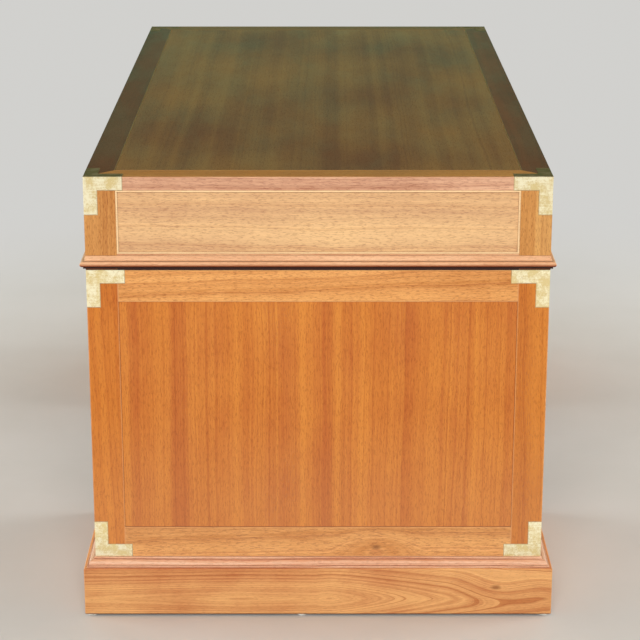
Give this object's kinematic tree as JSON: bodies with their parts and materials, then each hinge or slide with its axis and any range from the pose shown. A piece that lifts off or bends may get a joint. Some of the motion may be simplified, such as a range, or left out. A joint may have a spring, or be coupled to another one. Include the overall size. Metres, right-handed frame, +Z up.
{
  "type": "campaign desk",
  "caption": "Twin-pedestal campaign desk with frieze drawers, flush brass corner mounts and recessed brass pulls on the drawers.",
  "frame": {"origin": "on the floor under the middle of the desk", "axes": "+X along the desk to the sitter's right, +Y from the sitter to the back, +Z up; the drawers open towards -Y"},
  "size_m": [1.562, 0.8, 0.7675],
  "materials": {
    "case_wood": "waxed polish over a straight-grained orange-brown hardwood",
    "top_wood": "French polish, darker and glossier than the case",
    "drawer_lining": "plain, pale, unpolished",
    "brass": "satin, lightly worn",
    "nylon": "matt white"
  },
  "bodies": {
    "desk": {"desktop_border": "top_wood", "desktop_corner_mounts": "brass", "desktop_field": "top_wood", "frieze_beads": "case_wood", "frieze_frame": "case_wood", "frieze_moulding": "case_wood", "frieze_panels": "case_wood", "frieze_partitions": "drawer_lining", "glides": "nylon", "left_carcase": "case_wood", "left_corner_mounts": "brass", "left_frames": "case_wood", "left_panels": "case_wood", "left_plinth": "case_wood", "left_plinth_cap": "case_wood", "locating_dowels": "case_wood", "right_carcase": "case_wood", "right_corner_mounts": "brass", "right_frames": "case_wood", "right_panels": "case_wood", "right_plinth": "case_wood", "right_plinth_cap": "case_wood"},
    "left_upper_drawer": {"left_upper_drawer_front": "case_wood", "left_upper_drawer_box": "drawer_lining", "left_upper_drawer_pull_plate": "brass"},
    "left_upper_drawer_bail": {"left_upper_drawer_bail": "brass"},
    "left_middle_drawer": {"left_middle_drawer_front": "case_wood", "left_middle_drawer_box": "drawer_lining", "left_middle_drawer_pull_plate": "brass"},
    "left_middle_drawer_bail": {"left_middle_drawer_bail": "brass"},
    "left_lower_drawer": {"left_lower_drawer_front": "case_wood", "left_lower_drawer_box": "drawer_lining", "left_lower_drawer_pull_plate": "brass"},
    "left_lower_drawer_bail": {"left_lower_drawer_bail": "brass"},
    "left_frieze_drawer": {"left_frieze_drawer_front": "case_wood", "left_frieze_drawer_box": "drawer_lining", "left_frieze_drawer_pull_plate": "brass"},
    "left_frieze_drawer_bail": {"left_frieze_drawer_bail": "brass"},
    "right_upper_drawer": {"right_upper_drawer_front": "case_wood", "right_upper_drawer_box": "drawer_lining", "right_upper_drawer_pull_plate": "brass"},
    "right_upper_drawer_bail": {"right_upper_drawer_bail": "brass"},
    "right_middle_drawer": {"right_middle_drawer_front": "case_wood", "right_middle_drawer_box": "drawer_lining", "right_middle_drawer_pull_plate": "brass"},
    "right_middle_drawer_bail": {"right_middle_drawer_bail": "brass"},
    "right_lower_drawer": {"right_lower_drawer_front": "case_wood", "right_lower_drawer_box": "drawer_lining", "right_lower_drawer_pull_plate": "brass"},
    "right_lower_drawer_bail": {"right_lower_drawer_bail": "brass"},
    "right_frieze_drawer": {"right_frieze_drawer_front": "case_wood", "right_frieze_drawer_box": "drawer_lining", "right_frieze_drawer_pull_plate": "brass"},
    "right_frieze_drawer_bail": {"right_frieze_drawer_bail": "brass"},
    "centre_frieze_drawer": {"centre_frieze_drawer_front": "case_wood", "centre_frieze_drawer_box": "drawer_lining", "centre_frieze_drawer_pull_plate_1": "brass", "centre_frieze_drawer_pull_plate_2": "brass"},
    "centre_frieze_drawer_bail_1": {"centre_frieze_drawer_bail_1": "brass"},
    "centre_frieze_drawer_bail_2": {"centre_frieze_drawer_bail_2": "brass"}
  },
  "joints": [
    {"name": "left_upper_drawer_slide", "type": "slide", "parent": "desk", "child": "left_upper_drawer", "axis": [0, -1, 0], "range_m": [0, 0.43]},
    {"name": "left_upper_drawer_bail_swing", "type": "hinge", "parent": "left_upper_drawer", "child": "left_upper_drawer_bail", "pos_m": [-0.542, -0.3785, 0.539], "axis": [-1, 0, 0], "range_deg": [0, 90]},
    {"name": "left_middle_drawer_slide", "type": "slide", "parent": "desk", "child": "left_middle_drawer", "axis": [0, -1, 0], "range_m": [0, 0.43]},
    {"name": "left_middle_drawer_bail_swing", "type": "hinge", "parent": "left_middle_drawer", "child": "left_middle_drawer_bail", "pos_m": [-0.542, -0.3785, 0.393], "axis": [-1, 0, 0], "range_deg": [0, 90]},
    {"name": "left_lower_drawer_slide", "type": "slide", "parent": "desk", "child": "left_lower_drawer", "axis": [0, -1, 0], "range_m": [0, 0.43]},
    {"name": "left_lower_drawer_bail_swing", "type": "hinge", "parent": "left_lower_drawer", "child": "left_lower_drawer_bail", "pos_m": [-0.542, -0.3785, 0.223], "axis": [-1, 0, 0], "range_deg": [0, 90]},
    {"name": "left_frieze_drawer_slide", "type": "slide", "parent": "desk", "child": "left_frieze_drawer", "axis": [0, -1, 0], "range_m": [0, 0.43]},
    {"name": "left_frieze_drawer_bail_swing", "type": "hinge", "parent": "left_frieze_drawer", "child": "left_frieze_drawer_bail", "pos_m": [-0.542, -0.3785, 0.7035], "axis": [-1, 0, 0], "range_deg": [0, 90]},
    {"name": "right_upper_drawer_slide", "type": "slide", "parent": "desk", "child": "right_upper_drawer", "axis": [0, -1, 0], "range_m": [0, 0.43]},
    {"name": "right_upper_drawer_bail_swing", "type": "hinge", "parent": "right_upper_drawer", "child": "right_upper_drawer_bail", "pos_m": [0.542, -0.3785, 0.539], "axis": [-1, 0, 0], "range_deg": [0, 90]},
    {"name": "right_middle_drawer_slide", "type": "slide", "parent": "desk", "child": "right_middle_drawer", "axis": [0, -1, 0], "range_m": [0, 0.43]},
    {"name": "right_middle_drawer_bail_swing", "type": "hinge", "parent": "right_middle_drawer", "child": "right_middle_drawer_bail", "pos_m": [0.542, -0.3785, 0.393], "axis": [-1, 0, 0], "range_deg": [0, 90]},
    {"name": "right_lower_drawer_slide", "type": "slide", "parent": "desk", "child": "right_lower_drawer", "axis": [0, -1, 0], "range_m": [0, 0.43]},
    {"name": "right_lower_drawer_bail_swing", "type": "hinge", "parent": "right_lower_drawer", "child": "right_lower_drawer_bail", "pos_m": [0.542, -0.3785, 0.223], "axis": [-1, 0, 0], "range_deg": [0, 90]},
    {"name": "right_frieze_drawer_slide", "type": "slide", "parent": "desk", "child": "right_frieze_drawer", "axis": [0, -1, 0], "range_m": [0, 0.43]},
    {"name": "right_frieze_drawer_bail_swing", "type": "hinge", "parent": "right_frieze_drawer", "child": "right_frieze_drawer_bail", "pos_m": [0.542, -0.3785, 0.7035], "axis": [-1, 0, 0], "range_deg": [0, 90]},
    {"name": "centre_frieze_drawer_slide", "type": "slide", "parent": "desk", "child": "centre_frieze_drawer", "axis": [0, -1, 0], "range_m": [0, 0.43]},
    {"name": "centre_frieze_drawer_bail_1_swing", "type": "hinge", "parent": "centre_frieze_drawer", "child": "centre_frieze_drawer_bail_1", "pos_m": [-0.19, -0.3785, 0.7035], "axis": [-1, 0, 0], "range_deg": [0, 90]},
    {"name": "centre_frieze_drawer_bail_2_swing", "type": "hinge", "parent": "centre_frieze_drawer", "child": "centre_frieze_drawer_bail_2", "pos_m": [0.19, -0.3785, 0.7035], "axis": [-1, 0, 0], "range_deg": [0, 90]}
  ]
}
